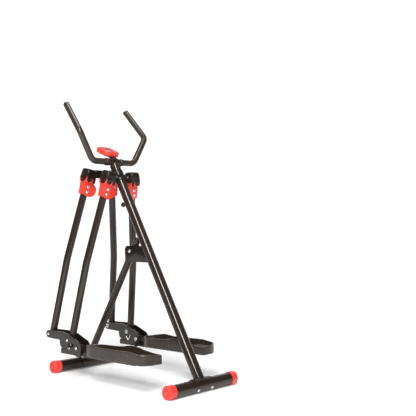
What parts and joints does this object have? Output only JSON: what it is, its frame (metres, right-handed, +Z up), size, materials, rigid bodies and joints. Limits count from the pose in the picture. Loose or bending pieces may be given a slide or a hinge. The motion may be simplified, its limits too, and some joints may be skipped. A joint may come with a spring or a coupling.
{
  "type": "air walker",
  "caption": "Folding air walker exerciser: A-frame with floor tubes, bent handlebar and small console, and two level foot pads that swing on parallel arms hung from knuckles.",
  "frame": {"origin": "on the floor, at the middle of the footprint box, with the machine unfolded and its pads level", "axes": "+Z up, +Y the way the user faces (from the rear floor tube to the front one), +X to the user's right"},
  "size_m": [0.51, 0.956, 1.4423],
  "materials": {
    "black_paint": "gloss powder coat, warm black",
    "black_plastic": "satin moulded",
    "pad_plastic": "satin moulded, ribbed tread",
    "red_plastic": "satin moulded",
    "steel": "zinc plated",
    "display": "clear window over a dark display",
    "blue_rubber": "matt"
  },
  "bodies": {
    "frame": {"rear_floor_tube": "black_paint", "rear_cap_left": "red_plastic", "rear_cap_right": "red_plastic", "rear_bolt_left": "steel", "rear_bolt_right": "steel", "main_post": "black_paint", "post_knob": "black_plastic", "fold_bracket": "black_paint", "strut_pivot_bolt": "steel", "head_frame": "black_plastic", "handlebar_tee": "black_paint", "handlebar_left": "black_paint", "handlebar_right": "black_paint", "console_case": "red_plastic", "console_lens": "display", "console_bracket": "black_plastic"},
    "strut": {"front_strut": "black_paint", "strut_end_plug": "black_plastic", "front_floor_tube": "black_paint", "front_cap_left": "red_plastic", "front_cap_right": "red_plastic", "front_bolt_left": "steel", "front_bolt_right": "steel"},
    "button": {"console_button": "blue_rubber"},
    "carrier_left": {"front_axle_left": "steel", "rear_axle_left": "steel"},
    "front_leg_left": {"front_knuckle_left": "black_plastic", "front_arm_bracket_left": "red_plastic", "front_arm_bolts_left": "steel", "front_arm_left": "black_paint"},
    "rear_leg_left": {"rear_knuckle_left": "black_plastic", "rear_arm_bracket_left": "red_plastic", "rear_arm_bolts_left": "steel", "rear_arm_left": "black_paint"},
    "pedal_left": {"link_plate_outer_left": "black_paint", "link_plate_inner_left": "black_paint", "front_link_bolt_left": "steel", "rear_link_bolt_left": "steel", "fold_bolt_left": "steel"},
    "pad_left": {"pad_frame_left": "black_paint", "foot_pad_left": "pad_plastic"},
    "lock_left": {"lock_pin_left": "black_plastic"},
    "carrier_right": {"front_axle_right": "steel", "rear_axle_right": "steel"},
    "front_leg_right": {"front_knuckle_right": "black_plastic", "front_arm_bracket_right": "red_plastic", "front_arm_bolts_right": "steel", "front_arm_right": "black_paint"},
    "rear_leg_right": {"rear_knuckle_right": "black_plastic", "rear_arm_bracket_right": "red_plastic", "rear_arm_bolts_right": "steel", "rear_arm_right": "black_paint"},
    "pedal_right": {"link_plate_outer_right": "black_paint", "link_plate_inner_right": "black_paint", "front_link_bolt_right": "steel", "rear_link_bolt_right": "steel", "fold_bolt_right": "steel"},
    "pad_right": {"pad_frame_right": "black_paint", "foot_pad_right": "pad_plastic"},
    "lock_right": {"lock_pin_right": "black_plastic"}
  },
  "joints": [
    {"name": "strut_fold", "type": "hinge", "parent": "frame", "child": "strut", "pos_m": [0, 0.046, 0.652], "axis": [-1, 0, 0], "range_deg": [0, 63]},
    {"name": "console_button_press", "type": "slide", "parent": "frame", "child": "button", "axis": [0, 0.3746, -0.9272], "range_m": [0, 0.0015], "stiffness_N_per_m": 400},
    {"name": "side_swing_left", "type": "hinge", "parent": "frame", "child": "carrier_left", "pos_m": [-0.038, 0.148, 1.044], "axis": [0, 0.9941, 0.1084], "range_deg": [0, 22]},
    {"name": "walk_left", "type": "hinge", "parent": "carrier_left", "child": "front_leg_left", "pos_m": [-0.078, 0.313, 1.062], "axis": [-1, 0, 0], "range_deg": [-30, 50]},
    {"name": "rear_arm_swing_left", "type": "hinge", "parent": "carrier_left", "child": "rear_leg_left", "pos_m": [-0.078, 0.148, 1.044], "axis": [-1, 0, 0], "range_deg": [-30, 50]},
    {"name": "pedal_level_left", "type": "hinge", "parent": "front_leg_left", "child": "pedal_left", "pos_m": [-0.203, 0.458, 0.206], "axis": [-1, 0, 0], "range_deg": [-50, 30]},
    {"name": "pad_fold_left", "type": "hinge", "parent": "pedal_left", "child": "pad_left", "pos_m": [-0.203, 0.217, 0.155], "axis": [-1, 0, 0], "range_deg": [0, 80]},
    {"name": "lock_pin_slide_left", "type": "slide", "parent": "pedal_left", "child": "lock_left", "axis": [-1, 0, 0], "range_m": [0, 0.024], "stiffness_N_per_m": 300},
    {"name": "side_swing_right", "type": "hinge", "parent": "frame", "child": "carrier_right", "pos_m": [0.038, 0.148, 1.044], "axis": [0, -0.9941, -0.1084], "range_deg": [0, 22]},
    {"name": "walk_right", "type": "hinge", "parent": "carrier_right", "child": "front_leg_right", "pos_m": [0.078, 0.313, 1.062], "axis": [-1, 0, 0], "range_deg": [-30, 50]},
    {"name": "rear_arm_swing_right", "type": "hinge", "parent": "carrier_right", "child": "rear_leg_right", "pos_m": [0.078, 0.148, 1.044], "axis": [-1, 0, 0], "range_deg": [-30, 50]},
    {"name": "pedal_level_right", "type": "hinge", "parent": "front_leg_right", "child": "pedal_right", "pos_m": [0.203, 0.458, 0.206], "axis": [-1, 0, 0], "range_deg": [-50, 30]},
    {"name": "pad_fold_right", "type": "hinge", "parent": "pedal_right", "child": "pad_right", "pos_m": [0.203, 0.217, 0.155], "axis": [-1, 0, 0], "range_deg": [0, 80]},
    {"name": "lock_pin_slide_right", "type": "slide", "parent": "pedal_right", "child": "lock_right", "axis": [1, 0, 0], "range_m": [0, 0.024], "stiffness_N_per_m": 300}
  ],
  "couplings": [
    {"joint": "rear_arm_swing_left", "follows": "walk_left", "ratio": 1},
    {"joint": "pedal_level_left", "follows": "walk_left", "ratio": -1},
    {"joint": "rear_arm_swing_right", "follows": "walk_right", "ratio": 1},
    {"joint": "pedal_level_right", "follows": "walk_right", "ratio": -1}
  ]
}
